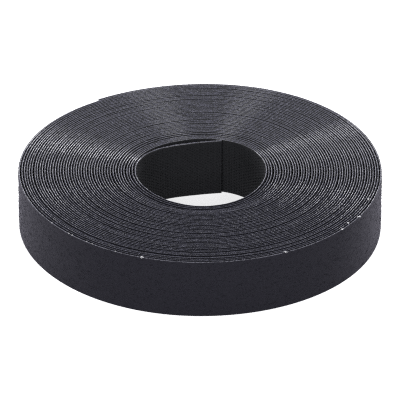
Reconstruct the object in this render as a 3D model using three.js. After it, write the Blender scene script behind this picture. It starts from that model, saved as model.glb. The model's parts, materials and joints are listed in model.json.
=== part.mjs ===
// Hook and loop tape roll: one long double-sided strip, wound on itself with no core and lying flat.
// The strip is two plies joined back to back. The moulded hook film faces the bore and the knitted
// loop cloth faces outwards, so the hooks of each turn hold in the loops of the turn inside it.
// The strip is made of flat panels that meet at flex lines, a whole number of them to a turn, so that
// the turns nest. At both free ends the panels are separate pieces: each hangs on a flex line, as a
// group that turns about Z, and carries the next one.
// Millimetres, +Z up. The origin is on the winding axis, in the plane that the roll lies on.

import * as THREE from 'three';

// Driving dimensions of the strip
const tapeWidth = 19;
const hookFilmThickness = 0.25;
const loopClothThickness = 0.2;
const hookedPileDepth = 0.35;

// Driving dimensions of the winding
const boreDiameter = 41;
const fullTurns = 45;
const panelsPerTurn = 20;
const outerTurnSplit = 2;
const innerEndAngle = THREE.MathUtils.degToRad(71);
const endLeadPanels = 3;

// Driving dimensions of the two free ends
const outerEndPanels = 12;
const innerEndPanels = 5;
const innerEndBow = 2.5;
const flexGap = 0.3;

// Sizes that follow from them
const stripThickness = hookFilmThickness + loopClothThickness;
const turnPitch = stripThickness + hookedPileDepth;
const flexLines = flexLinesFromTip();
const innerRoot = innerEndPanels;
const outerTip = flexLines.length - 1;
const outerRoot = outerTip - outerEndPanels;

// Each flex line's place along the winding, in turns from the inner tip. The outermost turn shows, so
// its panels are split into shorter ones that round it.
function flexLinesFromTip() {
  const panels = fullTurns * panelsPerTurn + endLeadPanels;
  const turns = [];
  for (let panel = 0; panel < panels; panel += 1) {
    const split = panel >= panels - panelsPerTurn ? outerTurnSplit : 1;
    for (let part = 0; part < split; part += 1) {
      turns.push((panel + part / split) / panelsPerTurn);
    }
  }
  turns.push(panels / panelsPerTurn);
  return turns;
}

// How far the slack inner end stands in from the turn outside it, at a flex line counted from the tip.
// The bow is at its most a third of the way from the tip, and runs out smoothly where the winding starts.
function slackAt(line) {
  if (line >= innerRoot) {
    return 0;
  }
  const share = line / innerEndPanels;
  const most = (1 / 3) * (2 / 3) ** 2;
  return (innerEndBow * share * (1 - share) ** 2) / most;
}

// The point where a flex line crosses the layer that lies `depth` out from the strip's inner face.
function linePoint(line, depth) {
  const turns = flexLines[line];
  const angle = innerEndAngle + 2 * Math.PI * turns;
  const radius = boreDiameter / 2 + turnPitch * turns - slackAt(line) + depth;
  return new THREE.Vector2(radius * Math.cos(angle), radius * Math.sin(angle));
}

// A copy of `point` moved towards `target` by a set length.
function movedTowards(point, target, length) {
  const step = target.clone().sub(point).setLength(length);
  return point.clone().add(step);
}

// One layer's line from flex line `first` to `last`, held back by half a flex gap where the strip goes on.
function layerLine(first, last, depth) {
  const points = [];
  for (let line = first; line <= last; line += 1) {
    points.push(linePoint(line, depth));
  }
  const end = points.length - 1;
  const [start, afterStart] = points;
  const [beforeFinish, finish] = points.slice(-2);
  if (first > 0) {
    points[0] = movedTowards(start, afterStart, flexGap / 2);
  }
  if (last < outerTip) {
    points[end] = movedTowards(finish, beforeFinish, flexGap / 2);
  }
  return points;
}

// One ply between two flex lines: its edge outline, raised by the tape's width.
function plyGeometry(first, last, innerDepth, outerDepth, pivot) {
  const outside = layerLine(first, last, outerDepth);
  const inside = layerLine(first, last, innerDepth).reverse();
  const outline = [...outside, ...inside].map((point) => point.sub(pivot));
  const edge = new THREE.Shape(outline);
  return new THREE.ExtrudeGeometry(edge, { depth: tapeWidth, bevelEnabled: false });
}

// Moulded film, with a low satin shine on its cut edge.
function hookFilmMaterial() {
  return new THREE.MeshStandardMaterial({ color: 0x1b1b1e, roughness: 0.55, metalness: 0 });
}

// Knitted cloth, dull all over.
function loopClothMaterial() {
  return new THREE.MeshStandardMaterial({ color: 0x232327, roughness: 0.95, metalness: 0 });
}

// Both plies of the strip between two flex lines, as named meshes in a group that stands at `pivot`.
function addPlies(group, name, first, last, pivot) {
  const hookFilm = plyGeometry(first, last, 0, hookFilmThickness, pivot);
  const hookPly = new THREE.Mesh(hookFilm, hookFilmMaterial());
  hookPly.name = `${name}_hook_ply`;

  const loopCloth = plyGeometry(first, last, hookFilmThickness, stripThickness, pivot);
  const loopPly = new THREE.Mesh(loopCloth, loopClothMaterial());
  loopPly.name = `${name}_loop_ply`;

  group.add(hookPly, loopPly);
}

// A free end as a chain of groups, one to a flex line, from the line where it leaves the winding.
// `step` is 1 where the chain runs along the winding and -1 where it runs back to the strip's start.
function addFreeEnd(roll, name, panels, root, step, pivotDepth) {
  let carrier = roll;
  let carrierPivot = new THREE.Vector2();
  for (let panel = 0; panel < panels; panel += 1) {
    const line = root + step * panel;
    const nextLine = line + step;
    const pivot = linePoint(line, pivotDepth);
    const offset = pivot.clone().sub(carrierPivot);
    const flexLine = new THREE.Group();
    flexLine.position.set(offset.x, offset.y, 0);
    const first = Math.min(line, nextLine);
    const last = Math.max(line, nextLine);
    addPlies(flexLine, `${name}_${panel + 1}`, first, last, pivot);
    carrier.add(flexLine);
    carrier = flexLine;
    carrierPivot = pivot;
  }
}

const tapeRoll = new THREE.Group();

// The wound strip, from where the inner end leaves it to where the outer end does.
addPlies(tapeRoll, 'wound', innerRoot, outerRoot, new THREE.Vector2());

// The outer end peels outwards, so it flexes on its outer face, and the cuts between its panels open.
addFreeEnd(tapeRoll, 'outer_end', outerEndPanels, outerRoot, 1, stripThickness);

// The inner end swings into the bore, so it flexes on its inner face.
addFreeEnd(tapeRoll, 'inner_end', innerEndPanels, innerRoot, -1, 0);

export default tapeRoll;
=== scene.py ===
"""Looks of a coreless roll of hook and loop tape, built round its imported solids.

The tape's sizes are in millimetres and the studio's in metres. A place on the tape is given in
strip coordinates: turns counted from the inner tip, depth outwards from the strip's inner face,
and height above the floor. Meshes are made in metres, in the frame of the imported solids.
"""

from __future__ import annotations

import json
import logging
import math
from dataclasses import dataclass, field
from enum import Enum

import bpy
import numpy as np
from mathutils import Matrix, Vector

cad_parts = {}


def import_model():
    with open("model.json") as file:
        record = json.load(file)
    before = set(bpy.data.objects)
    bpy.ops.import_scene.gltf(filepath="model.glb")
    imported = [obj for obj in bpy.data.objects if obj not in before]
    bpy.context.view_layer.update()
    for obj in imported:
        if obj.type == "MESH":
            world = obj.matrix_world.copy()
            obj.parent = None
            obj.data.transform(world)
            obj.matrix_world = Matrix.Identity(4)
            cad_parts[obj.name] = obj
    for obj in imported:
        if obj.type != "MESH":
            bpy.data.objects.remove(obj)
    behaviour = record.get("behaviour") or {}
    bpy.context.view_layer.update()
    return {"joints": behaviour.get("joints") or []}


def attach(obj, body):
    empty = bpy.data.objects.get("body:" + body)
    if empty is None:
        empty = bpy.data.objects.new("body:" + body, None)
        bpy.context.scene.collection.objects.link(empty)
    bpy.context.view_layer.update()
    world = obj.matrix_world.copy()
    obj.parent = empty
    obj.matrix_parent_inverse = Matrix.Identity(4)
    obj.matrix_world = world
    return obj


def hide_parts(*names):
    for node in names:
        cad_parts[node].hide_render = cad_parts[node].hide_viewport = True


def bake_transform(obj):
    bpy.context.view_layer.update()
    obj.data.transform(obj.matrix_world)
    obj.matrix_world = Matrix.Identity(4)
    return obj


LOG = logging.getLogger("tape_roll")
MILLIMETRE = 0.001
FULL_TURN = 2.0 * math.pi
ROLL_BODY = "roll"
STRIP_MARK = "strip"
YARN_SIDES = 3
PIXEL_FILTER = 1.2
# An edge mask that begins here also takes in what stands over the edge.
OVER_EDGE = -10.0
# The colour sockets of a mix node, which has other sockets with the same names.
MIX_FIRST = 6
MIX_SECOND = 7
MIX_RESULT = 2
Colour = tuple[float, float, float, float]


class Ply(Enum):
    """The tape's two plies, by the ending of their solids' names."""

    HOOK = "hook_ply"
    LOOP = "loop_ply"


class Lean(Enum):
    """Which way along the tape a hook's crook points."""

    ON = 1
    BACK = -1


@dataclass(frozen=True)
class Tape:
    """The make-up of the strip."""

    width: float = 19.0
    film: float = 0.25
    cloth: float = 0.20
    pile: float = 0.35

    @property
    def thickness(self) -> float:
        """Both plies together."""
        return self.film + self.cloth

    @property
    def pitch(self) -> float:
        """How much each turn adds to the radius."""
        return self.thickness + self.pile


@dataclass(frozen=True)
class Drift:
    """Smooth random straying along the tape."""

    seed: int
    reach: float
    step: float
    knots: int = 2000

    def at(self, turn: np.ndarray) -> np.ndarray:
        """How far the tape strays.

        Args:
            turn: Places along the tape, in turns.

        Returns:
            A length for each place, between minus and plus the reach.
        """
        values = np.random.default_rng(self.seed).uniform(-1.0, 1.0, self.knots)
        last_place = self.knots - 2.001
        place = np.clip(turn / self.step, 0.0, last_place)
        knot = np.floor(place).astype(int)
        share = place - knot
        ease = share * share * (3.0 - 2.0 * share)
        return self.reach * (values[knot] * (1.0 - ease) + values[knot + 1] * ease)


@dataclass(frozen=True)
class Recess:
    """A stretch of tape whose edge lies lower than its neighbours' edges."""

    turn: float
    half_span: float
    depth: float

    def at(self, turn: np.ndarray) -> np.ndarray:
        """How low the edge lies at each place along the tape."""
        away = np.clip(np.abs(turn - self.turn) / self.half_span, 0.0, 1.0)
        return self.depth * (1.0 - away * away * (3.0 - 2.0 * away))


@dataclass(frozen=True)
class Lobe:
    """A wave in the outline of the roll or its bore, which makes it a little out of round."""

    waves: int
    reach: float
    angle: float

    def at(self, angle: np.ndarray) -> np.ndarray:
        """How far the outline stands out at each angle."""
        return self.reach * np.cos(self.waves * (angle - self.angle))


@dataclass(frozen=True)
class Faults:
    """The small faults of a tape wound by hand."""

    sway: Drift = Drift(seed=11, reach=0.08, step=0.07)
    edge: Drift = Drift(seed=12, reach=0.08, step=0.21)
    ripple: Drift = Drift(seed=13, reach=0.03, step=0.017)
    edge_drop: float = 0.08
    recesses: tuple[Recess, ...] = (
        Recess(turn=40.525, half_span=0.24, depth=0.12),
        Recess(turn=37.525, half_span=0.24, depth=0.10),
        Recess(turn=3.6, half_span=3.0, depth=0.30),
    )
    lobes: tuple[Lobe, ...] = (
        Lobe(waves=3, reach=0.364, angle=math.radians(50.0)),
        Lobe(waves=4, reach=0.170, angle=math.radians(-27.3)),
    )
    bore_lobes: tuple[Lobe, ...] = (
        Lobe(waves=0, reach=-0.25, angle=0.0),
        Lobe(waves=1, reach=0.70, angle=math.radians(285.0)),
        Lobe(waves=2, reach=0.45, angle=math.radians(90.0)),
        Lobe(waves=3, reach=0.40, angle=math.radians(40.0)),
    )
    bore_turns: float = 18.0

    def drop(self, turn: np.ndarray) -> np.ndarray:
        """How far the tape's upper edge lies under its full height.

        Args:
            turn: Places along the tape, in turns.

        Returns:
            A length for each place, never less than zero.
        """
        low = self.edge_drop + self.edge.at(turn) + self.ripple.at(turn)
        for recess in self.recesses:
            low = low + recess.at(turn)
        return np.maximum(low, 0.0)

    def outward(self, turn: np.ndarray, angle: np.ndarray, share: np.ndarray) -> np.ndarray:
        """How far the tape lies outside its even spiral.

        Args:
            turn: Places along the tape, in turns.
            angle: Their angles round the roll.
            share: Their radius as a share of the roll's.

        Returns:
            A length for each place.
        """
        out = self.sway.at(turn)
        for lobe in self.lobes:
            out = out + lobe.at(angle) * share
        fade = np.clip(1.0 - turn / self.bore_turns, 0.0, 1.0) ** 2
        for lobe in self.bore_lobes:
            out = out + lobe.at(angle) * fade
        return out


@dataclass(frozen=True)
class Winding:
    """The spiral that the tape lies in."""

    tape: Tape
    faults: Faults
    bore_diameter: float = 41.0
    inner_tip_angle: float = math.radians(71.0)
    outer_tip: float = 45.15
    inner_root: float = 0.25
    inner_bow: float = 1.9
    stations_per_turn: int = 120

    @property
    def bore_radius(self) -> float:
        """Half the bore's diameter."""
        return self.bore_diameter / 2.0

    @property
    def outer_radius(self) -> float:
        """The radius at the outer tip's inner face."""
        return self.bore_radius + self.tape.pitch * self.outer_tip

    def along(self, turn: np.ndarray) -> np.ndarray:
        """Length of tape from the inner tip to each place."""
        return FULL_TURN * (self.bore_radius * turn + self.tape.pitch * turn * turn / 2.0)

    def turn_at(self, along: np.ndarray) -> np.ndarray:
        """The turn at each length of tape from the inner tip.

        Args:
            along: Lengths of tape from the inner tip.

        Returns:
            A place along the tape for each length, in turns.
        """
        start = self.bore_radius
        pitch = self.tape.pitch
        return (np.sqrt(start * start + pitch * along / math.pi) - start) / pitch

    def turn_of(self, point: Vector, depth: float) -> float:
        """The turn whose layer at some depth passes through a point.

        Args:
            point: A point in the frame, in metres.
            depth: How far out from the strip's inner face the point lies.

        Returns:
            The place along the tape, in turns.
        """
        reach = math.hypot(point[0], point[1]) / MILLIMETRE
        rough = max((reach - depth - self.bore_radius) / self.tape.pitch, 0.0)
        part = (math.atan2(point[1], point[0]) - self.inner_tip_angle) / FULL_TURN
        return part + round(rough - part)

    def place(self, turn: np.ndarray, depth: np.ndarray, height: np.ndarray) -> np.ndarray:
        """Turns strip coordinates into points of the frame.

        Args:
            turn: Places along the tape, in turns.
            depth: Lengths outwards from the strip's inner face.
            height: Heights above the floor on an even tape.

        Returns:
            One row for each point, in metres.
        """
        turn = np.maximum(turn, 0.0)
        angle = self.inner_tip_angle + FULL_TURN * turn
        even = self.bore_radius + self.tape.pitch * turn
        fault = self.faults.outward(turn, angle, even / self.outer_radius)
        radius = even - self.slack(turn) + fault + depth
        level = height * (1.0 - self.faults.drop(turn) / self.tape.width)
        return np.stack([radius * np.cos(angle), radius * np.sin(angle), level], -1) * MILLIMETRE

    def slack(self, turn: np.ndarray) -> np.ndarray:
        """How far the slack inner end stands in from the turn outside it.

        Args:
            turn: Places along the tape, in turns.

        Returns:
            A length for each place, at its most a third of the way from the tip to the root.
        """
        share = np.clip(turn / self.inner_root, 0.0, 1.0)
        most = (1.0 / 3.0) * (2.0 / 3.0) ** 2
        return self.inner_bow * share * (1.0 - share) ** 2 / most

    def stations(self, first: float, last: float) -> np.ndarray:
        """Evenly spaced places from one turn to another."""
        count = max(2, math.ceil((last - first) * self.stations_per_turn) + 1)
        return np.linspace(first, last, count)


@dataclass
class MeshDraft:
    """Points, faces and strip coordinates of one mesh while it is put together.

    The crease is the angle in degrees above which an edge stays sharp.
    """

    winding: Winding
    crease: float = 50.0
    points: list[np.ndarray] = field(default_factory=list)
    marks: list[np.ndarray] = field(default_factory=list)
    corners: list[np.ndarray] = field(default_factory=list)
    sides: list[np.ndarray] = field(default_factory=list)
    count: int = 0

    def add(
        self, turn: np.ndarray, depth: np.ndarray, height: np.ndarray, faces: list[np.ndarray]
    ) -> None:
        """Adds a shape that is given in strip coordinates.

        Args:
            turn: Each point's place along the tape, in turns.
            depth: Each point's length outwards from the strip's inner face.
            height: Each point's height above the floor.
            faces: Arrays of point numbers, one array for each number of corners.
        """
        self.points.append(self.winding.place(turn, depth, height))
        self.marks.append(np.stack([self.winding.along(turn), height, depth], -1))
        for group in faces:
            self.corners.append((group + self.count).ravel())
            self.sides.append(np.full(len(group), group.shape[1]))
        self.count += len(turn)

    def build(self, name: str, material: bpy.types.Material) -> bpy.types.Object:
        """Makes the mesh and its object.

        Args:
            name: The piece's name.
            material: The finish it takes.

        Returns:
            The new object, in the scene.
        """
        points = np.concatenate(self.points).astype(np.float32)
        marks = np.concatenate(self.marks).astype(np.float32)
        corners = np.concatenate(self.corners).astype(np.int32)
        sides = np.concatenate(self.sides).astype(np.int32)
        mesh = bpy.data.meshes.new(name)
        mesh.vertices.add(len(points))
        mesh.vertices.foreach_set("co", points.ravel())
        mesh.loops.add(len(corners))
        mesh.loops.foreach_set("vertex_index", corners)
        mesh.polygons.add(len(sides))
        starts = np.concatenate([[0], np.cumsum(sides)[:-1]]).astype(np.int32)
        mesh.polygons.foreach_set("loop_start", starts)
        mesh.update(calc_edges=True)
        mesh.validate()
        mark = mesh.attributes.new(STRIP_MARK, "FLOAT_VECTOR", "POINT")
        mark.data.foreach_set("vector", marks.ravel())
        mesh.polygons.foreach_set("use_smooth", np.ones(len(mesh.polygons), dtype=bool))
        mesh.set_sharp_from_angle(angle=math.radians(self.crease))
        mesh.materials.append(material)
        piece = bpy.data.objects.new(name, mesh)
        bpy.context.scene.collection.objects.link(piece)
        return piece


@dataclass(frozen=True)
class Section:
    """The rounded cross-section of one ply."""

    inner: float
    outer: float
    width: float
    inner_round: float
    outer_round: float
    corner_points: int = 3
    support: float = 0.45

    def corner(self, number: int) -> np.ndarray:
        """One rounded corner.

        Args:
            number: The corner, counted anticlockwise from the outer lower one.

        Returns:
            A row of depth and height for each point.
        """
        outside = number < 2
        upper = number in (1, 2)
        size = self.outer_round if outside else self.inner_round
        middle_depth = self.outer - size if outside else self.inner + size
        middle_height = self.width - size if upper else size
        angle = np.linspace(-0.5, 0.0, self.corner_points) * math.pi + number * math.pi / 2.0
        depth = middle_depth + size * np.cos(angle)
        height = middle_height + size * np.sin(angle)
        return np.stack([depth, height], -1)

    def ring(self) -> tuple[np.ndarray, np.ndarray]:
        """The outline of the section.

        Returns:
            Depths and heights round the section, from its outer lower corner upwards.
        """
        low = self.support
        high = self.width - self.support
        outside = np.array([[self.outer, low], [self.outer, high]])
        inside = np.array([[self.inner, high], [self.inner, low]])
        parts = [self.corner(0), outside, self.corner(1), self.corner(2), inside, self.corner(3)]
        ring = np.concatenate(parts)
        return ring[:, 0], ring[:, 1]

    def sweep(self, draft: MeshDraft, first: float, last: float) -> None:
        """Draws the section along the tape and closes both ends.

        Args:
            draft: The mesh that takes it.
            first: Where it starts, in turns.
            last: Where it ends, in turns.
        """
        depth, height = self.ring()
        turns = draft.winding.stations(first, last)
        around = len(depth)
        number = np.arange(len(turns) * around).reshape(len(turns), around)
        ahead = np.roll(number, -1, axis=1)
        walls = np.stack([number[:-1], number[1:], ahead[1:], ahead[:-1]], -1).reshape(-1, 4)
        ends = np.stack([number[0], number[-1][::-1]])
        draft.add(
            np.repeat(turns, around),
            np.tile(depth, len(turns)),
            np.tile(height, len(turns)),
            [walls, ends],
        )


@dataclass(frozen=True)
class HookField:
    """The moulded hooks on the film's inner face, in rows along the tape.

    The start and the stagger are shares of the spacing.
    """

    tape: Tape
    spacing: float = 1.85
    start: float = 0.25
    stagger: float = 0.5
    rows: int = 36
    first_row: float = 0.45
    blade: float = 0.18
    outline: tuple[tuple[float, float], ...] = (
        (-0.30, -0.03),
        (0.24, -0.03),
        (0.13, 0.18),
        (0.27, 0.13),
        (0.26, 0.25),
        (0.08, 0.335),
        (-0.11, 0.27),
        (-0.17, 0.11),
    )

    def row_height(self, row: int) -> float:
        """The height of a row's middle above the floor."""
        step = (self.tape.width - 2.0 * self.first_row) / (self.rows - 1)
        return self.first_row + step * row

    def template(self, lean: Lean) -> tuple[np.ndarray, np.ndarray]:
        """One hook's outline.

        Args:
            lean: Which way the crook points.

        Returns:
            Lengths along the tape and lengths inwards, turning anticlockwise.
        """
        outline = np.array(self.outline)
        if lean is Lean.BACK:
            outline = outline[::-1] * np.array([-1.0, 1.0])
        return outline[:, 0], outline[:, 1]

    def plant(self, draft: MeshDraft, first: float, last: float, rows: list[int]) -> None:
        """Plants hooks between two places along the tape.

        Args:
            draft: The mesh that takes them.
            first: Where they start, in turns.
            last: Where they end, in turns.
            rows: The rows to plant, counted from the floor.
        """
        winding = draft.winding
        ends = winding.along(np.array([first, last]))
        for row in rows:
            lean = Lean.ON if row % 2 == 0 else Lean.BACK
            offset = self.spacing * (self.start + self.stagger * (row % 2))
            begin = math.ceil((ends[0] - offset) / self.spacing)
            finish = math.floor((ends[1] - offset) / self.spacing)
            middles = offset + self.spacing * np.arange(begin, finish + 1)
            if len(middles):
                self.plant_row(draft, middles, self.row_height(row), lean)

    def plant_row(self, draft: MeshDraft, middles: np.ndarray, height: float, lean: Lean) -> None:
        """Plants one row of hooks.

        Args:
            draft: The mesh that takes them.
            middles: Each hook's length along the tape.
            height: The row's height above the floor.
            lean: Which way the crooks point.
        """
        along, reach = self.template(lean)
        points = len(along)
        low = np.arange(points)
        high = low + points
        side = np.stack([low, np.roll(low, -1), np.roll(high, -1), high], -1)
        caps = np.stack([low[::-1], high])
        shift = 2 * points * np.arange(len(middles))[:, None, None]
        place = middles[:, None] + np.tile(along, 2)[None, :]
        level = height + self.blade * np.repeat([-0.5, 0.5], points)
        draft.add(
            draft.winding.turn_at(np.maximum(place, 0.0)).ravel(),
            np.tile(-np.tile(reach, 2), len(middles)),
            np.tile(level, len(middles)),
            [(side[None] + shift).reshape(-1, 4), (caps[None] + shift).reshape(-1, points)],
        )


@dataclass(frozen=True)
class LoopPile:
    """The low loops of yarn that stand on the cloth's outer face."""

    tape: Tape
    per_square: float = 0.95
    span: float = 0.62
    rise: float = 0.14
    yarn: float = 0.032
    margin: float = 0.25
    edge_margin: float = 0.02
    heading_spread: float = 0.6
    span_range: tuple[float, float] = (0.7, 1.2)
    rise_range: tuple[float, float] = (0.6, 1.25)
    seed: int = 31
    steps: int = 5

    def grow(self, draft: MeshDraft, first: float, last: float) -> None:
        """Grows loops between two places along the tape.

        Args:
            draft: The mesh that takes them.
            first: Where they start, in turns.
            last: Where they end, in turns.
        """
        winding = draft.winding
        start, end = winding.along(np.array([first, last]))
        margin = self.margin
        count = round((end - start) * self.tape.width * self.per_square)
        rng = np.random.default_rng([self.seed, round(start)])
        along = rng.uniform(start + margin, end - margin, count)
        height = rng.uniform(margin, self.tape.width - margin, count)
        heading = rng.normal(0.0, self.heading_spread, count)
        span = self.span * rng.uniform(*self.span_range, count)
        rise = self.rise * rng.uniform(*self.rise_range, count)
        swing = np.linspace(0.0, math.pi, self.steps)
        run = -0.5 * np.cos(swing)[None] * span[:, None]
        lift = np.sin(swing)[None] * rise[:, None] - self.yarn
        slope_run = np.sin(swing)[None] * 0.5 * span[:, None]
        slope_lift = np.cos(swing)[None] * rise[:, None]
        steep = np.sqrt(slope_run**2 + slope_lift**2)
        around = yarn_angles()
        across = self.yarn * np.cos(around)[None, None, :]
        upward = self.yarn * np.sin(around)[None, None, :]
        ahead = run[..., None] - upward * (slope_lift / steep)[..., None]
        depth = lift[..., None] + upward * (slope_run / steep)[..., None]
        cosine = np.cos(heading)[:, None, None]
        sine = np.sin(heading)[:, None, None]
        place = along[:, None, None] + ahead * cosine - across * sine
        level = height[:, None, None] + ahead * sine + across * cosine
        draft.add(
            winding.turn_at(place.ravel()),
            self.tape.thickness + depth.ravel(),
            np.clip(level.ravel(), self.edge_margin, self.tape.width - self.edge_margin),
            tube_faces(count, self.steps),
        )


def yarn_angles() -> np.ndarray:
    """The angles of the points round a yarn."""
    return np.arange(YARN_SIDES) * FULL_TURN / YARN_SIDES


def tube_faces(count: int, steps: int) -> list[np.ndarray]:
    """Faces of many alike lengths of yarn with closed ends.

    Args:
        count: How many lengths there are.
        steps: How many rings of points each has.

    Returns:
        The walls and the ends, as arrays of point numbers.
    """
    around = YARN_SIDES
    number = np.arange(steps * around).reshape(steps, around)
    ahead = np.roll(number, -1, axis=1)
    walls = np.stack([number[:-1], ahead[:-1], ahead[1:], number[1:]], -1).reshape(-1, 4)
    ends = np.stack([number[0][::-1], number[-1]])
    shift = steps * around * np.arange(count)[:, None, None]
    return [(walls[None] + shift).reshape(-1, 4), (ends[None] + shift).reshape(-1, around)]


@dataclass(frozen=True)
class Fray:
    """Short ends of yarn that stand up from the cloth's upper cut edge.

    The rise and the root's depth under the edge are shares of a fibre's length.
    """

    tape: Tape
    every: float = 2.2
    length: float = 0.34
    yarn: float = 0.045
    root_range: tuple[float, float] = (0.2, 0.9)
    length_range: tuple[float, float] = (0.4, 1.3)
    along_spread: float = 0.7
    outward_lean: float = 0.1
    outward_spread: float = 0.5
    stops: tuple[float, ...] = (0.0, 0.55, 1.0)
    taper: tuple[float, ...] = (1.0, 0.8, 0.35)
    rise: float = 0.75
    root_depth: float = 0.25
    seed: int = 41

    def grow(self, draft: MeshDraft, first: float, last: float) -> None:
        """Grows fibres between two places along the tape.

        Args:
            draft: The mesh that takes them.
            first: Where they start, in turns.
            last: Where they end, in turns.
        """
        winding = draft.winding
        start, end = winding.along(np.array([first, last]))
        count = round((end - start) / self.every)
        rng = np.random.default_rng([self.seed, round(start)])
        along = rng.uniform(start, end, count)
        root = self.tape.film + self.tape.cloth * rng.uniform(*self.root_range, count)
        length = self.length * rng.uniform(*self.length_range, count)
        lean_along = rng.normal(0.0, self.along_spread, count)
        lean_out = rng.normal(self.outward_lean, self.outward_spread, count)
        share = np.array(self.stops)
        bend = share * share
        thin = self.yarn * np.array(self.taper)[:, None]
        around = yarn_angles()
        size = length[:, None, None]
        ahead = size * (bend * lean_along[:, None])[..., None] + (thin * np.cos(around))[None]
        depth = size * (bend * lean_out[:, None])[..., None] + (thin * np.sin(around))[None]
        height = (self.rise * share - self.root_depth)[None, :, None]
        level = size * height + np.zeros((1, 1, YARN_SIDES))
        place = along[:, None, None] + ahead
        draft.add(
            winding.turn_at(np.maximum(place, 0.0).ravel()),
            (root[:, None, None] + depth).ravel(),
            (self.tape.width + level).ravel(),
            tube_faces(count, len(share)),
        )


@dataclass(frozen=True)
class Lint:
    """Pale bits of lint that cling to the roll's upper edge."""

    tape: Tape
    turns: tuple[float, ...] = (42.749, 43.703, 44.502, 44.628, 44.691, 44.717)
    fibres: int = 5
    length: float = 1.3
    length_range: tuple[float, float] = (0.4, 1.0)
    rise: float = 0.25
    rise_range: tuple[float, float] = (0.3, 1.0)
    yarn: float = 0.075
    steps: int = 5
    seed: int = 51

    @classmethod
    def fine(cls, tape: Tape) -> Lint:
        """Finer and shorter bits, along the front left of the rim."""
        turns = (44.402, 44.426, 44.430, 44.447, 44.453, 44.477)
        return cls(tape, turns=turns, fibres=3, length=0.7, rise=0.2, yarn=0.045, seed=52)

    def scatter(self, draft: MeshDraft) -> None:
        """Lays a few arched fibres at each place.

        Args:
            draft: The mesh that takes them.
        """
        count = len(self.turns) * self.fibres
        rng = np.random.default_rng(self.seed)
        middle = draft.winding.along(np.repeat(np.array(self.turns), self.fibres))
        heading = rng.uniform(0.0, math.pi, count)[:, None, None]
        length = self.length * rng.uniform(*self.length_range, count)
        rise = self.rise * rng.uniform(*self.rise_range, count)
        share = np.linspace(-1.0, 1.0, self.steps)
        run = (0.5 * length[:, None] * share)[..., None]
        arch = (rise[:, None] * (1.0 - share * share))[..., None]
        around = yarn_angles()
        across = self.yarn * np.cos(around)[None, None, :]
        upward = self.yarn * np.sin(around)[None, None, :]
        place = middle[:, None, None] + run * np.cos(heading) - across * np.sin(heading)
        depth = self.tape.film + run * np.sin(heading) + across * np.cos(heading)
        draft.add(
            draft.winding.turn_at(place.ravel()),
            depth.ravel(),
            (self.tape.width + arch + upward).ravel(),
            tube_faces(count, self.steps),
        )


class NodeSheet:
    """Adds nodes to a tree and links them."""

    def __init__(self, tree: bpy.types.NodeTree) -> None:
        """Takes the tree that the nodes go in."""
        self.tree = tree

    def add(self, kind: str, **settings: object) -> bpy.types.Node:
        """Adds a node.

        Args:
            kind: The node's type.
            settings: The node's properties.

        Returns:
            The new node.
        """
        node = self.tree.nodes.new(kind)
        for name, value in settings.items():
            setattr(node, name, value)
        return node

    def link(self, source: bpy.types.NodeSocket, target: bpy.types.NodeSocket) -> None:
        """Links one socket to another."""
        self.tree.links.new(source, target)

    def feed(self, target: bpy.types.NodeSocket, value: object) -> None:
        """Links a socket to the target, or sets a plain value on it.

        Args:
            target: The socket that takes the value.
            value: A socket, a number or a colour.
        """
        if isinstance(value, bpy.types.NodeSocket):
            self.link(value, target)
        else:
            target.default_value = value

    def maths(self, operation: str, first: object, second: object = 0.0) -> bpy.types.NodeSocket:
        """Adds a sum.

        Args:
            operation: The kind of sum.
            first: A socket or a number.
            second: A socket or a number.

        Returns:
            The result's socket.
        """
        node = self.add("ShaderNodeMath", operation=operation)
        self.feed(node.inputs[0], first)
        self.feed(node.inputs[1], second)
        return node.outputs[0]

    def span(
        self, value: object, source: tuple[object, object], target: tuple[float, float]
    ) -> bpy.types.NodeSocket:
        """Eases a value from one span to another.

        Args:
            value: A socket or a number.
            source: The span it comes from.
            target: The span it goes to.

        Returns:
            The result's socket.
        """
        node = self.add("ShaderNodeMapRange", interpolation_type="SMOOTHSTEP")
        for name, entry in zip(("Value", "From Min", "From Max"), (value, *source)):
            self.feed(node.inputs[name], entry)
        node.inputs["To Min"].default_value = target[0]
        node.inputs["To Max"].default_value = target[1]
        return node.outputs["Result"]

    def mix(self, share: object, first: object, second: object) -> bpy.types.NodeSocket:
        """Mixes two colours.

        Args:
            share: How much of the second, as a socket or a number.
            first: A socket or a colour.
            second: A socket or a colour.

        Returns:
            The mixed colour's socket.
        """
        node = self.add("ShaderNodeMix", data_type="RGBA")
        self.feed(node.inputs["Factor"], share)
        self.feed(node.inputs[MIX_FIRST], first)
        self.feed(node.inputs[MIX_SECOND], second)
        return node.outputs[MIX_RESULT]


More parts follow.
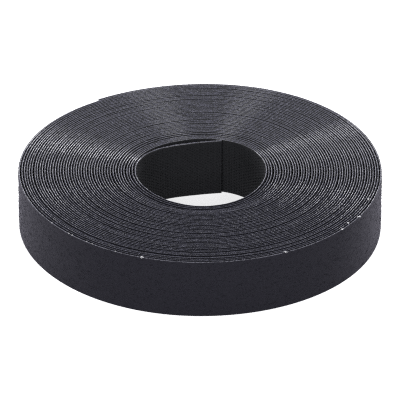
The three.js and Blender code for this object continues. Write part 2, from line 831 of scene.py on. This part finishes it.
class SlitEdge:
    """Node group: how much of a place is cut edge, broken up by fine specks.

    The mask eases in over a short length and is full up to a share of its reach.
    """

    NAME = "slit_edge"
    EASE_IN = 0.012
    FULL_SHARE = 0.65
    SPECK_SCALE = 1.7
    SPECK_DETAIL = 2.0
    SPECK_SPAN = (0.30, 0.68)

    @classmethod
    def tree(cls) -> bpy.types.NodeTree:
        """The group's tree, made once.

        Returns:
            The tree.
        """
        found = bpy.data.node_groups.get(cls.NAME)
        if found:
            return found
        tree = bpy.data.node_groups.new(cls.NAME, "ShaderNodeTree")
        for name in ("Width", "Begin", "Reach", "Specks"):
            tree.interface.new_socket(name, in_out="INPUT", socket_type="NodeSocketFloat")
        tree.interface.new_socket("Mask", in_out="OUTPUT", socket_type="NodeSocketFloat")
        sheet = NodeSheet(tree)
        given = sheet.add("NodeGroupInput")
        strip = sheet.add("ShaderNodeAttribute", attribute_name=STRIP_MARK)
        apart = sheet.add("ShaderNodeSeparateXYZ")
        sheet.link(strip.outputs["Vector"], apart.inputs[0])
        half = sheet.maths("MULTIPLY", given.outputs["Width"], 0.5)
        off = sheet.maths("SUBTRACT", apart.outputs["Y"], half)
        nearest = sheet.maths("SUBTRACT", half, sheet.maths("ABSOLUTE", off))
        full = sheet.maths("MULTIPLY", given.outputs["Reach"], cls.FULL_SHARE)
        near = sheet.span(nearest, (full, given.outputs["Reach"]), (1.0, 0.0))
        begun = sheet.maths("ADD", given.outputs["Begin"], cls.EASE_IN)
        inside = sheet.span(nearest, (given.outputs["Begin"], begun), (0.0, 1.0))
        band = sheet.maths("MULTIPLY", near, inside)
        noise = sheet.add("ShaderNodeTexNoise")
        noise.inputs["Scale"].default_value = cls.SPECK_SCALE
        noise.inputs["Detail"].default_value = cls.SPECK_DETAIL
        sheet.link(strip.outputs["Vector"], noise.inputs["Vector"])
        whole = sheet.span(noise.outputs["Fac"], cls.SPECK_SPAN, (0.0, 1.0))
        broken = sheet.maths("SUBTRACT", 1.0, whole)
        lost = sheet.maths("MULTIPLY", given.outputs["Specks"], broken)
        kept = sheet.maths("SUBTRACT", 1.0, lost)
        made = sheet.add("NodeGroupOutput")
        sheet.link(sheet.maths("MULTIPLY", band, kept), made.inputs["Mask"])
        return tree


class StripGrain:
    """Node group: fine noise that is drawn out along the tape."""

    NAME = "strip_grain"
    DETAIL = 4.0
    ROUGHNESS = 0.6

    @classmethod
    def tree(cls) -> bpy.types.NodeTree:
        """The group's tree, made once.

        Returns:
            The tree.
        """
        found = bpy.data.node_groups.get(cls.NAME)
        if found:
            return found
        tree = bpy.data.node_groups.new(cls.NAME, "ShaderNodeTree")
        for name in ("Along", "Across"):
            tree.interface.new_socket(name, in_out="INPUT", socket_type="NodeSocketFloat")
        tree.interface.new_socket("Grain", in_out="OUTPUT", socket_type="NodeSocketFloat")
        sheet = NodeSheet(tree)
        given = sheet.add("NodeGroupInput")
        strip = sheet.add("ShaderNodeAttribute", attribute_name=STRIP_MARK)
        apart = sheet.add("ShaderNodeSeparateXYZ")
        sheet.link(strip.outputs["Vector"], apart.inputs[0])
        joined = sheet.add("ShaderNodeCombineXYZ")
        along = sheet.maths("DIVIDE", apart.outputs["X"], given.outputs["Along"])
        across = sheet.maths("DIVIDE", apart.outputs["Y"], given.outputs["Across"])
        depth = sheet.maths("DIVIDE", apart.outputs["Z"], given.outputs["Across"])
        for axis, value in zip("XYZ", (along, across, depth)):
            sheet.link(value, joined.inputs[axis])
        noise = sheet.add("ShaderNodeTexNoise")
        noise.inputs["Scale"].default_value = 1.0
        noise.inputs["Detail"].default_value = cls.DETAIL
        noise.inputs["Roughness"].default_value = cls.ROUGHNESS
        sheet.link(joined.outputs[0], noise.inputs["Vector"])
        made = sheet.add("NodeGroupOutput")
        sheet.link(noise.outputs["Fac"], made.inputs["Grain"])
        return tree


@dataclass(frozen=True)
class Finish:
    """A finish that lightens towards the tape's cut edges and has a grain along it.

    The mottle and the roughness each follow the grain over a span of its values. On the tape the
    lighter edge colour is painted highlight for the light that the upper cut edges catch.
    """

    name: str
    face: Colour
    grain_tint: Colour
    # The cut edges' lighter colour; on the tape it is painted highlight for the light they catch.
    edge: Colour
    roughness: tuple[float, float]
    edge_reach: float
    edge_specks: float
    grain: tuple[float, float]
    bump: float
    gloss: float = 0.0
    gloss_begin: float = 0.010
    gloss_reach: float = 0.28
    gloss_specks: float = 0.05
    gloss_roughness: float = 0.18
    gloss_ior: float = 1.5
    mottle_span: tuple[float, float] = (0.35, 0.7)
    roughness_span: tuple[float, float] = (0.3, 0.7)
    bump_depth: float = 0.1
    sheen: float = 0.0
    sheen_roughness: float = 0.35
    sheen_tint: Colour = (1.0, 1.0, 1.0, 1.0)
    specular: float = 0.5
    specular_tint: Colour = (1.0, 1.0, 1.0, 1.0)

    def edge_mask(
        self, sheet: NodeSheet, winding: Winding, band: tuple[float, float], specks: float
    ) -> bpy.types.NodeSocket:
        """Adds the mask of the tape's cut edges.

        Args:
            sheet: The material's nodes.
            winding: The winding, for the tape's width.
            band: How far in from an edge the mask begins and how far it goes.
            specks: How much of it is broken up.

        Returns:
            The mask's socket.
        """
        node = sheet.add("ShaderNodeGroup", node_tree=SlitEdge.tree())
        node.inputs["Width"].default_value = winding.tape.width
        node.inputs["Begin"].default_value, node.inputs["Reach"].default_value = band
        node.inputs["Specks"].default_value = specks
        return node.outputs["Mask"]

    def material(self, winding: Winding) -> bpy.types.Material:
        """Makes the finish's material.

        Args:
            winding: The winding, for the tape's width.

        Returns:
            The material.
        """
        material = bpy.data.materials.new(self.name)
        material.use_nodes = True
        sheet = NodeSheet(material.node_tree)
        shader = material.node_tree.nodes["Principled BSDF"]
        edge = self.edge_mask(sheet, winding, (OVER_EDGE, self.edge_reach), self.edge_specks)
        grain = sheet.add("ShaderNodeGroup", node_tree=StripGrain.tree())
        grain.inputs["Along"].default_value = self.grain[0]
        grain.inputs["Across"].default_value = self.grain[1]
        mottle = sheet.span(grain.outputs["Grain"], self.mottle_span, (0.0, 1.0))
        body = sheet.mix(mottle, self.face, self.grain_tint)
        # Painted highlight: the colour lightens towards the cut edges, in place of the light they
        # catch.
        colour = sheet.mix(edge, body, self.edge)
        sheet.link(colour, shader.inputs["Base Color"])
        rough = sheet.span(grain.outputs["Grain"], self.roughness_span, self.roughness)
        sheet.link(rough, shader.inputs["Roughness"])
        if self.gloss:
            band = (self.gloss_begin, self.gloss_reach)
            slit = self.edge_mask(sheet, winding, band, self.gloss_specks)
            sheet.link(sheet.maths("MULTIPLY", slit, self.gloss), shader.inputs["Coat Weight"])
            shader.inputs["Coat Roughness"].default_value = self.gloss_roughness
            shader.inputs["Coat IOR"].default_value = self.gloss_ior
        bump = sheet.add("ShaderNodeBump")
        bump.inputs["Strength"].default_value = self.bump
        bump.inputs["Distance"].default_value = self.bump_depth * MILLIMETRE
        sheet.link(grain.outputs["Grain"], bump.inputs["Height"])
        sheet.link(bump.outputs["Normal"], shader.inputs["Normal"])
        shader.inputs["Sheen Weight"].default_value = self.sheen
        shader.inputs["Sheen Roughness"].default_value = self.sheen_roughness
        shader.inputs["Sheen Tint"].default_value = self.sheen_tint
        shader.inputs["Specular IOR Level"].default_value = self.specular
        shader.inputs["Specular Tint"].default_value = self.specular_tint
        return material


FILM_FINISH = Finish(
    name="hook_film",
    face=(0.0074, 0.0077, 0.0078, 1.0),
    grain_tint=(0.0118, 0.0123, 0.0125, 1.0),
    # Painted highlight: the film's cut edges are lighter and bluish, in place of the sheen they
    # catch.
    edge=(0.130, 0.130, 0.176, 1.0),
    roughness=(0.62, 0.80),
    edge_reach=0.06,
    edge_specks=0.90,
    grain=(1.6, 0.5),
    bump=0.05,
    gloss=1.0,
    specular=0.25,
    specular_tint=(0.86, 0.86, 1.0, 1.0),
)
CLOTH_FINISH = Finish(
    name="loop_cloth",
    face=(0.0121, 0.0117, 0.0160, 1.0),
    grain_tint=(0.0168, 0.0163, 0.0223, 1.0),
    # Painted highlight: the cloth's cut edges and the fibres over them are lighter, in place of the
    # light they catch.
    edge=(0.15, 0.15, 0.168, 1.0),
    roughness=(0.85, 0.95),
    edge_reach=0.07,
    edge_specks=1.0,
    grain=(0.35, 0.28),
    bump=0.3,
    sheen=0.22,
    sheen_tint=(0.83, 0.79, 0.93, 1.0),
    specular=0.14,
)
# Painted shade: a darker copy of the loop cloth without its sheen, for the inner turns whose cloth
# lies in the shade of the gaps between turns. Its lighter upper band is painted light where light
# reaches into the tops of the gaps.
GAP_SHADE_FINISH = Finish(
    name="shaded_gap_cloth",
    face=(0.0050, 0.0050, 0.0066, 1.0),
    grain_tint=(0.0070, 0.0070, 0.0092, 1.0),
    edge=(0.020, 0.020, 0.0250, 1.0),
    roughness=(0.85, 0.95),
    edge_reach=0.26,
    edge_specks=0.35,
    grain=(0.35, 0.28),
    bump=0.3,
    specular=0.06,
)
LINT_FINISH = Finish(
    name="lint",
    face=(0.72, 0.72, 0.72, 1.0),
    grain_tint=(0.80, 0.79, 0.78, 1.0),
    edge=(0.78, 0.78, 0.78, 1.0),
    roughness=(0.85, 0.95),
    edge_reach=0.10,
    edge_specks=0.2,
    grain=(0.2, 0.2),
    bump=0.1,
)


@dataclass
class Plies:
    """What both plies of any stretch of tape are made from."""

    winding: Winding
    film: bpy.types.Material
    cloth: bpy.types.Material
    # The darker copy of the cloth, painted shade for the gaps between turns.
    shaded_gap_cloth: bpy.types.Material
    film_round: float = 0.18
    cloth_round: float = 0.05
    seam_round: float = 0.02
    seam: float = 0.004

    def __post_init__(self) -> None:
        """Sets up the sections, hooks and loops from the tape's sizes."""
        tape = self.winding.tape
        self.hooks = HookField(tape)
        self.loops = LoopPile(tape)
        self.rim_fray = Fray(tape, every=0.45, length=0.26)
        back = tape.film - self.seam
        self.film_section = Section(0.0, back, tape.width, self.film_round, self.seam_round)
        self.cloth_section = Section(
            tape.film, tape.thickness, tape.width, self.seam_round, self.cloth_round
        )

    @property
    def all_rows(self) -> list[int]:
        """Every row of hooks."""
        return list(range(self.hooks.rows))

    def film_piece(self, name: str, first: float, last: float, rows: list[int]) -> bpy.types.Object:
        """Makes a stretch of film with hooks.

        Args:
            name: The piece's name.
            first: Where it starts, in turns.
            last: Where it ends, in turns.
            rows: The rows of hooks it carries.

        Returns:
            The piece.
        """
        draft = MeshDraft(self.winding)
        self.film_section.sweep(draft, first, last)
        self.hooks.plant(draft, first, last, rows)
        return draft.build(name, self.film)

    def cloth_piece(self, name: str, first: float, last: float, looped: bool) -> bpy.types.Object:
        """Makes a stretch of cloth.

        Args:
            name: The piece's name.
            first: Where it starts, in turns.
            last: Where it ends, in turns.
            looped: Whether its loops show. Cloth whose loops don't show takes the darker copy of
                the cloth, painted shade for the gaps between turns.

        Returns:
            The piece.
        """
        draft = MeshDraft(self.winding)
        self.cloth_section.sweep(draft, first, last)
        if looped:
            self.loops.grow(draft, first, last)
            self.rim_fray.grow(draft, first, last)
        # Painted shade: cloth without loops takes the darker copy for the gaps between turns.
        material = self.cloth if looped else self.shaded_gap_cloth
        return draft.build(name, material)


@dataclass
class FreeEnd:
    """A free end of the tape, built in pieces that meet midway between its flex lines."""

    plies: Plies
    name: str
    joint: str
    pivot_depth: float
    tip: float

    def lines(self, joints: list[dict]) -> list[float]:
        """Where the end's flex lines lie.

        Args:
            joints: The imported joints.

        Returns:
            The turn of each line, from the roll to the tip.
        """
        winding = self.plies.winding
        own = [joint for joint in joints if joint["name"].startswith(self.joint)]
        return [winding.turn_of(joint["pos_m"], self.pivot_depth) for joint in own]

    def middles(self, lines: list[float]) -> list[float]:
        """Where the end's pieces meet.

        Args:
            lines: The turns of the flex lines.

        Returns:
            The middle of each panel, led by a place on the roll half a panel before it.
        """
        stops = [*lines, self.tip]
        inside = [(stop + after) / 2.0 for stop, after in zip(stops, stops[1:])]
        return [2.0 * lines[0] - inside[0], *inside]

    def point(self, turn: float) -> Vector:
        """A point in the middle of the strip.

        Args:
            turn: Its place along the tape, in turns.

        Returns:
            The point, in the frame.
        """
        winding = self.plies.winding
        tape = winding.tape
        coordinates = (turn, tape.thickness / 2.0, tape.width / 2.0)
        return Vector(winding.place(*[np.array([value]) for value in coordinates])[0])

    def build(self, joints: list[dict]) -> list[bpy.types.Object]:
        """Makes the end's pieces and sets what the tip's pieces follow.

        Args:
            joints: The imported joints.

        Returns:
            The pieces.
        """
        lines = self.lines(joints)
        middles = self.middles(lines)
        bodies = [ROLL_BODY, *[f"{self.name}_{number + 1}" for number in range(len(lines))]]
        pieces = []
        for number in range(1, len(bodies)):
            start, end = middles[number - 1], middles[number]
            for piece in self.stretch(bodies[number], start, end):
                self.point(start)
                self.point(end)
                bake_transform(piece)
                pieces.append(piece)
        for piece in self.stretch(f"{self.name}_tip", middles[-1], self.tip):
            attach(piece, bodies[-1])
            pieces.append(piece)
        for piece, node in zip(pieces, self.nodes(bodies[1:])):
            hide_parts(node)
        return pieces

    def nodes(self, bodies: list[str]) -> list[str]:
        """The solids that the pieces stand for, in the pieces' order."""
        return [f"{body}_{ply.value}" for body in [*bodies, bodies[-1]] for ply in Ply]

    def stretch(self, name: str, start: float, end: float) -> list[bpy.types.Object]:
        """Makes both plies between two places.

        Args:
            name: The start of the pieces' names.
            start: One place along the tape, in turns.
            end: The other place.

        Returns:
            The film and the cloth.
        """
        first, last = sorted((start, end))
        film = self.plies.film_piece(f"{name}_film", first, last, self.plies.all_rows)
        cloth = self.plies.cloth_piece(f"{name}_cloth", first, last, looped=True)
        return [film, cloth]


@dataclass
class WoundRoll:
    """The tape between its two free ends.

    The wall is the stretch whose loops show, the rim is the frayed stretch inside it, and the bore
    is the stretch whose hooks show. Each is given in turns.
    """

    plies: Plies
    first: float
    last: float
    wall: float = 1.0
    rim: float = 1.0
    bore: float = 1.1

    def build(self) -> list[bpy.types.Object]:
        """Makes the roll's pieces, which all ride on it.

        Returns:
            The pieces.
        """
        plies = self.plies
        hooks = plies.hooks
        tape = plies.winding.tape
        film = plies.film_piece("wound_film", self.first, self.last, [])
        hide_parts(f"wound_{Ply.HOOK.value}")
        wall_start = self.last - self.wall
        # The inner turns' cloth takes the darker copy, painted shade for the gaps between turns.
        cloth = plies.cloth_piece("wound_cloth", self.first, wall_start, looped=False)
        wall = plies.cloth_piece("wall_cloth", wall_start, self.last, looped=True)
        for piece in (cloth, wall):
            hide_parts(f"wound_{Ply.LOOP.value}")
        pieces = [film, cloth, wall]
        for name, row in (("lower", 0), ("upper", hooks.rows - 1)):
            draft = MeshDraft(plies.winding)
            hooks.plant(draft, self.first, self.last, [row])
            pieces.append(draft.build(f"wound_{name}_hooks", plies.film))
        bore = MeshDraft(plies.winding)
        hooks.plant(bore, self.first, self.first + self.bore, plies.all_rows[1:-1])
        pieces.append(bore.build("bore_hooks", plies.film))
        edge = MeshDraft(plies.winding)
        Fray(tape).grow(edge, self.first, self.last)
        plies.rim_fray.grow(edge, wall_start - self.rim, wall_start)
        pieces.append(edge.build("edge_fray", plies.cloth))
        bits = MeshDraft(plies.winding)
        for lint in (Lint(tape), Lint.fine(tape)):
            lint.scatter(bits)
        lint_material = LINT_FINISH.material(plies.winding)
        pieces.append(bits.build("rim_lint", lint_material))
        for piece in pieces:
            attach(piece, ROLL_BODY)
        return pieces


@dataclass(frozen=True)
class Lamp:
    """A soft round lamp that is aimed at the roll, with its power in watts."""

    name: str
    place: tuple[float, float, float]
    size: float
    power: float
    colour: tuple[float, float, float] = (0.96, 0.96, 1.0)

    def build(self, target: Vector) -> None:
        """Makes the lamp.

        Args:
            target: The point that it is aimed at, in metres.
        """
        light = bpy.data.lights.new(self.name, "AREA")
        light.shape = "DISK"
        light.size = self.size
        light.energy = self.power
        light.color = self.colour
        lamp = bpy.data.objects.new(self.name, light)
        lamp.location = self.place
        lamp.visible_camera = False
        lamp.rotation_mode = "QUATERNION"
        lamp.rotation_quaternion = (target - lamp.location).to_track_quat("-Z", "Y")
        bpy.context.scene.collection.objects.link(lamp)


@dataclass(frozen=True)
class Studio:
    """A pale floor, soft lamps and the camera.

    Lengths are in metres, apart from the camera's sensor, which is in millimetres. The lift is how
    much the floor glows for straight rays, so that it shows white.
    """

    elevation: float = math.radians(29.62)
    distance: float = 1.712
    picture_width: float = 0.12474
    sensor: float = 36.0
    aim: tuple[float, float] = (-0.00014, -0.00100)
    middle: tuple[float, float, float] = (0.0, 0.0, 0.0095)
    floor_side: float = 6.0
    floor_colour: Colour = (0.86, 0.86, 0.86, 1.0)
    lift: float = 0.64
    lamps: tuple[Lamp, ...] = (
        Lamp("right_back_lamp", (0.77, 0.77, 0.51), 0.35, 7.6),
        Lamp("right_side_lamp", (0.94, 0.54, 0.51), 0.35, 2.9),
        Lamp("left_side_lamp", (-0.94, 0.54, 0.51), 0.35, 5.3),
        Lamp("left_low_lamp", (-1.06, 0.50, 0.25), 0.35, 2.9),
        Lamp("left_back_lamp", (-0.77, 0.83, 0.39), 0.35, 2.7),
        Lamp("back_right_lamp", (0.28, 1.05, 0.51), 0.35, 3.4),
        Lamp("back_left_lamp", (-0.28, 1.05, 0.51), 0.35, 2.6),
        Lamp("low_back_right_lamp", (0.170, 1.174, 0.18), 0.30, 2.5),
        Lamp("low_back_left_lamp", (-0.170, 1.174, 0.18), 0.30, 3.7),
        Lamp("front_right_lamp", (0.61, -0.84, 0.60), 0.60, 7.1),
        Lamp("front_left_lamp", (-0.60, -0.85, 0.60), 0.60, 7.6),
    )
    white: Colour = (1.0, 1.0, 1.0, 1.0)

    def build(self) -> None:
        """Makes the floor, the lamps, the sky and the camera."""
        self.build_floor()
        self.build_sky()
        for lamp in self.lamps:
            lamp.build(Vector(self.middle))
        self.build_camera()

    def straight_rays(self, sheet: NodeSheet) -> bpy.types.NodeSocket:
        """Adds the mask of rays that see the background itself.

        Args:
            sheet: The nodes of the floor or the sky.

        Returns:
            The mask's socket, which is 1 for the camera, for gloss and for glass.
        """
        path = sheet.add("ShaderNodeLightPath")
        rays = sheet.maths("MAXIMUM", path.outputs["Is Camera Ray"], path.outputs["Is Glossy Ray"])
        return sheet.maths("MAXIMUM", rays, path.outputs["Is Transmission Ray"])

    def build_floor(self) -> None:
        """Makes the floor, which shows white and keeps the roll's shadow."""
        half = self.floor_side / 2.0
        corners = [(-half, -half, 0.0), (half, -half, 0.0), (half, half, 0.0), (-half, half, 0.0)]
        mesh = bpy.data.meshes.new("floor")
        mesh.from_pydata(corners, [], [(0, 1, 2, 3)])
        material = bpy.data.materials.new("floor_paper")
        material.use_nodes = True
        sheet = NodeSheet(material.node_tree)
        shader = material.node_tree.nodes["Principled BSDF"]
        shader.inputs["Base Color"].default_value = self.floor_colour
        shader.inputs["Roughness"].default_value = 1.0
        shader.inputs["Specular IOR Level"].default_value = 0.0
        glow = sheet.maths("MULTIPLY", self.straight_rays(sheet), self.lift)
        shader.inputs["Emission Color"].default_value = self.white
        sheet.link(glow, shader.inputs["Emission Strength"])
        mesh.materials.append(material)
        floor = bpy.data.objects.new("floor", mesh)
        bpy.context.scene.collection.objects.link(floor)

    def build_sky(self) -> None:
        """Makes the sky, which shows white to straight rays and gives no other light."""
        world = bpy.data.worlds.new("studio_sky")
        world.use_nodes = True
        sheet = NodeSheet(world.node_tree)
        back = world.node_tree.nodes["Background"]
        back.inputs["Color"].default_value = self.white
        sheet.link(self.straight_rays(sheet), back.inputs["Strength"])
        bpy.context.scene.world = world

    def build_camera(self) -> None:
        """Makes the camera at the photograph's viewing angle."""
        toward = Vector((0.0, -math.cos(self.elevation), math.sin(self.elevation)))
        upward = Vector((0.0, math.sin(self.elevation), math.cos(self.elevation)))
        target = Vector(self.middle) + Vector((self.aim[0], 0.0, 0.0)) + upward * self.aim[1]
        data = bpy.data.cameras.new("camera")
        data.sensor_width = self.sensor
        data.lens = self.sensor * self.distance / self.picture_width
        camera = bpy.data.objects.new("camera", data)
        camera.location = target + toward * self.distance
        camera.rotation_mode = "QUATERNION"
        camera.rotation_quaternion = (-toward).to_track_quat("-Z", "Y")
        bpy.context.scene.collection.objects.link(camera)
        bpy.context.scene.camera = camera


def report_pieces(pieces: list[bpy.types.Object]) -> None:
    """Logs each piece's name and number of faces."""
    for piece in pieces:
        LOG.info("%s: %d faces", piece.name, len(piece.data.polygons))


def main() -> None:
    """Builds the roll, its free ends and the studio."""
    logging.basicConfig(level=logging.INFO, format="%(message)s")
    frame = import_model()
    bpy.context.scene.view_settings.view_transform = "Standard"
    bpy.context.scene.cycles.use_denoising = False
    bpy.context.scene.cycles.filter_width = PIXEL_FILTER
    winding = Winding(Tape(), Faults())
    finishes = (FILM_FINISH, CLOTH_FINISH, GAP_SHADE_FINISH)
    plies = Plies(winding, *[finish.material(winding) for finish in finishes])
    tape = winding.tape
    outer = FreeEnd(plies, "outer_end", "outer_peel", tape.thickness, winding.outer_tip)
    inner = FreeEnd(plies, "inner_end", "inner_swing", 0.0, 0.0)
    joints = frame["joints"]
    first = inner.middles(inner.lines(joints))[0]
    last = outer.middles(outer.lines(joints))[0]
    report_pieces(WoundRoll(plies, first, last).build())
    report_pieces(outer.build(joints))
    report_pieces(inner.build(joints))
    Studio().build()


if __name__ == "__main__":
    main()
